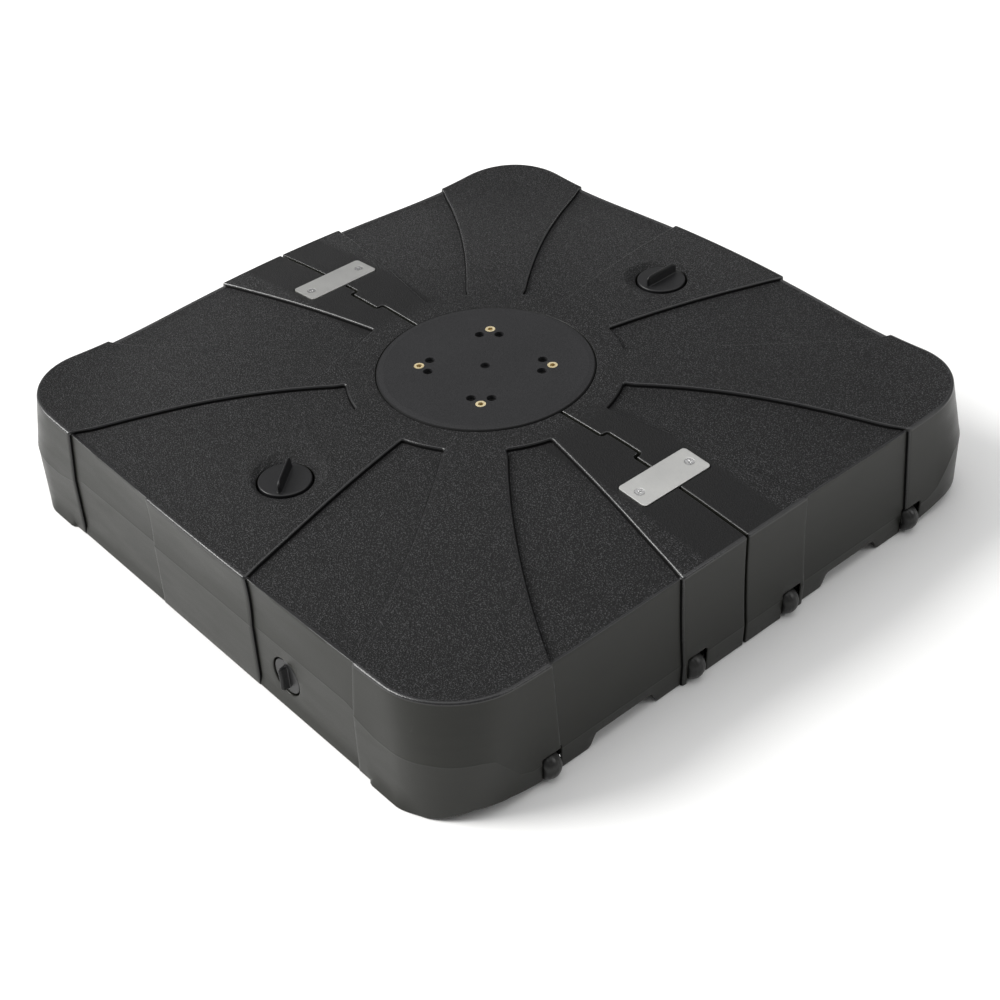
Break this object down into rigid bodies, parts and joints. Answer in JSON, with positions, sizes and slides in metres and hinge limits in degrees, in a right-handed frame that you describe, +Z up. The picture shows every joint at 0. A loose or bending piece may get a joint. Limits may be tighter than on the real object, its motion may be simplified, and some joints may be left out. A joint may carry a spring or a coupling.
{
  "type": "parasol base",
  "caption": "Square fillable parasol base: two hollow tank halves with fill caps, drain plugs and edge wheels, joined by a round hub plate and metal straps.",
  "frame": {"origin": "centre of the footprint on the floor", "axes": "+Z up; the seam between the halves runs along X, the front half lies towards -Y, the wheels are on the +X and -X sides"},
  "size_m": [0.918, 0.913, 0.189],
  "materials": {
    "tank_plastic": "black polyethylene, coarse sparkling grain on the deck, satin side walls",
    "hub_plastic": "smooth satin black",
    "brass": "machined brass",
    "black_screw": "blackened steel",
    "plate_metal": "pale satin metal",
    "bright_screw": "bright steel",
    "cap_plastic": "semi-gloss black",
    "seal_rubber": "black rubber",
    "wheel_plastic": "satin black",
    "axle_steel": "plain steel"
  },
  "bodies": {
    "base": {"tank_front": "tank_plastic", "tank_back": "tank_plastic", "hub_plate": "hub_plastic", "hub_inserts": "brass", "hub_screws": "black_screw", "hub_bushes": "brass", "link_plate_right": "plate_metal", "link_plate_left": "plate_metal", "link_screws": "bright_screw", "link_bushes": "brass", "axle_right_1": "axle_steel", "axle_right_2": "axle_steel", "axle_right_3": "axle_steel", "axle_right_4": "axle_steel", "axle_left_1": "axle_steel", "axle_left_2": "axle_steel", "axle_left_3": "axle_steel", "axle_left_4": "axle_steel"},
    "fill_seal_front": {"fill_seal_front": "seal_rubber"},
    "fill_cap_front": {"fill_cap_front": "cap_plastic"},
    "drain_seal_front": {"drain_seal_front": "seal_rubber"},
    "drain_plug_front": {"drain_plug_front": "cap_plastic"},
    "fill_seal_back": {"fill_seal_back": "seal_rubber"},
    "fill_cap_back": {"fill_cap_back": "cap_plastic"},
    "drain_seal_back": {"drain_seal_back": "seal_rubber"},
    "drain_plug_back": {"drain_plug_back": "cap_plastic"},
    "wheel_right_1": {"wheel_right_1": "wheel_plastic"},
    "wheel_right_2": {"wheel_right_2": "wheel_plastic"},
    "wheel_right_3": {"wheel_right_3": "wheel_plastic"},
    "wheel_right_4": {"wheel_right_4": "wheel_plastic"},
    "wheel_left_1": {"wheel_left_1": "wheel_plastic"},
    "wheel_left_2": {"wheel_left_2": "wheel_plastic"},
    "wheel_left_3": {"wheel_left_3": "wheel_plastic"},
    "wheel_left_4": {"wheel_left_4": "wheel_plastic"}
  },
  "joints": [
    {"name": "fill_cap_front_lift", "type": "slide", "parent": "base", "child": "fill_seal_front", "axis": [0, 0, 1], "range_m": [0, 0.02]},
    {"name": "fill_cap_front_turn", "type": "hinge", "parent": "fill_seal_front", "child": "fill_cap_front", "pos_m": [0, -0.315, 0.174], "axis": [0, 0, 1], "range_deg": [0, 1800]},
    {"name": "drain_plug_front_out", "type": "slide", "parent": "base", "child": "drain_seal_front", "axis": [0, -1, 0], "range_m": [0, 0.018]},
    {"name": "drain_plug_front_turn", "type": "hinge", "parent": "drain_seal_front", "child": "drain_plug_front", "pos_m": [0.158, -0.4455, 0.048], "axis": [0, -1, 0], "range_deg": [0, 2160]},
    {"name": "fill_cap_back_lift", "type": "slide", "parent": "base", "child": "fill_seal_back", "axis": [0, 0, 1], "range_m": [0, 0.02]},
    {"name": "fill_cap_back_turn", "type": "hinge", "parent": "fill_seal_back", "child": "fill_cap_back", "pos_m": [0, 0.315, 0.174], "axis": [0, 0, 1], "range_deg": [0, 1800]},
    {"name": "drain_plug_back_out", "type": "slide", "parent": "base", "child": "drain_seal_back", "axis": [0, 1, 0], "range_m": [0, 0.018]},
    {"name": "drain_plug_back_turn", "type": "hinge", "parent": "drain_seal_back", "child": "drain_plug_back", "pos_m": [-0.158, 0.4455, 0.048], "axis": [0, 1, 0], "range_deg": [0, 2160]},
    {"name": "wheel_right_1_spin", "type": "hinge", "parent": "base", "child": "wheel_right_1", "pos_m": [0.441, -0.304, 0.0185], "axis": [0, 1, 0], "continuous": true},
    {"name": "wheel_right_2_spin", "type": "hinge", "parent": "base", "child": "wheel_right_2", "pos_m": [0.441, -0.08, 0.0185], "axis": [0, 1, 0], "continuous": true},
    {"name": "wheel_right_3_spin", "type": "hinge", "parent": "base", "child": "wheel_right_3", "pos_m": [0.441, 0.08, 0.0185], "axis": [0, 1, 0], "continuous": true},
    {"name": "wheel_right_4_spin", "type": "hinge", "parent": "base", "child": "wheel_right_4", "pos_m": [0.441, 0.304, 0.0185], "axis": [0, 1, 0], "continuous": true},
    {"name": "wheel_left_1_spin", "type": "hinge", "parent": "base", "child": "wheel_left_1", "pos_m": [-0.441, 0.304, 0.0185], "axis": [0, 1, 0], "continuous": true},
    {"name": "wheel_left_2_spin", "type": "hinge", "parent": "base", "child": "wheel_left_2", "pos_m": [-0.441, 0.08, 0.0185], "axis": [0, 1, 0], "continuous": true},
    {"name": "wheel_left_3_spin", "type": "hinge", "parent": "base", "child": "wheel_left_3", "pos_m": [-0.441, -0.08, 0.0185], "axis": [0, 1, 0], "continuous": true},
    {"name": "wheel_left_4_spin", "type": "hinge", "parent": "base", "child": "wheel_left_4", "pos_m": [-0.441, -0.304, 0.0185], "axis": [0, 1, 0], "continuous": true}
  ],
  "couplings": [
    {"joint": "fill_cap_front_lift", "follows": "fill_cap_front_turn", "m_per_rad": 0.0006366},
    {"joint": "drain_plug_front_out", "follows": "drain_plug_front_turn", "m_per_rad": 0.0004774},
    {"joint": "fill_cap_back_lift", "follows": "fill_cap_back_turn", "m_per_rad": 0.0006366},
    {"joint": "drain_plug_back_out", "follows": "drain_plug_back_turn", "m_per_rad": 0.0004774}
  ]
}
